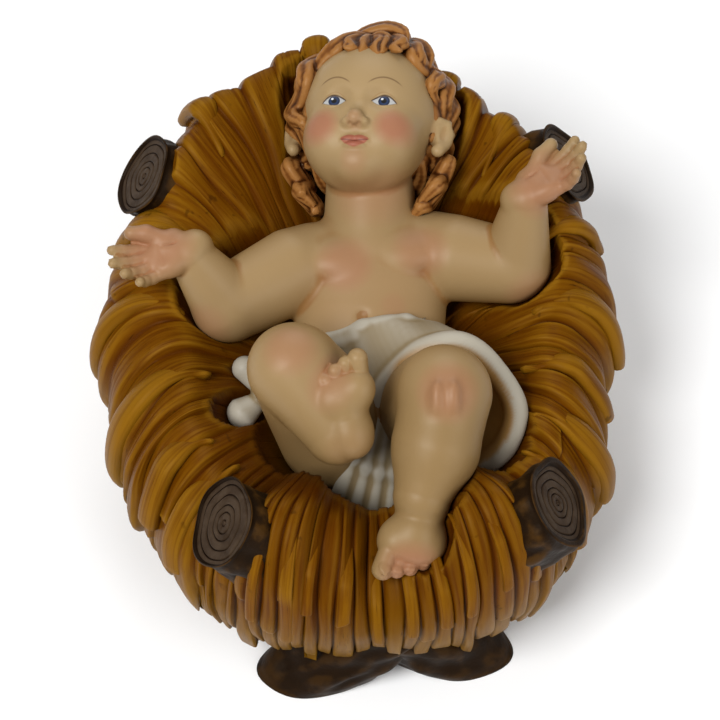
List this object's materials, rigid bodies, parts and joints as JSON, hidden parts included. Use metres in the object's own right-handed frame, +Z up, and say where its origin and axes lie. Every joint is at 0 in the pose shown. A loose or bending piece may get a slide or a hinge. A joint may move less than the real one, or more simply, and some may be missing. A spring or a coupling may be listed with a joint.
{
  "type": "baby jesus figurine",
  "caption": "Painted resin child with loincloth lying in a rustic straw manger on crossed-log trestles.",
  "frame": {"origin": "middle of the bounding box, on the plane that the log feet stand on", "axes": "+Z up, +Y towards the head end, +X to the right as seen from the foot end"},
  "size_m": [0.1488, 0.1794, 0.1004],
  "materials": {
    "baby": "painted resin, satin",
    "manger": "painted resin, waxy satin with a brown wash"
  },
  "bodies": {
    "root": {"baby": "baby", "manger": "manger"}
  },
  "joints": []
}
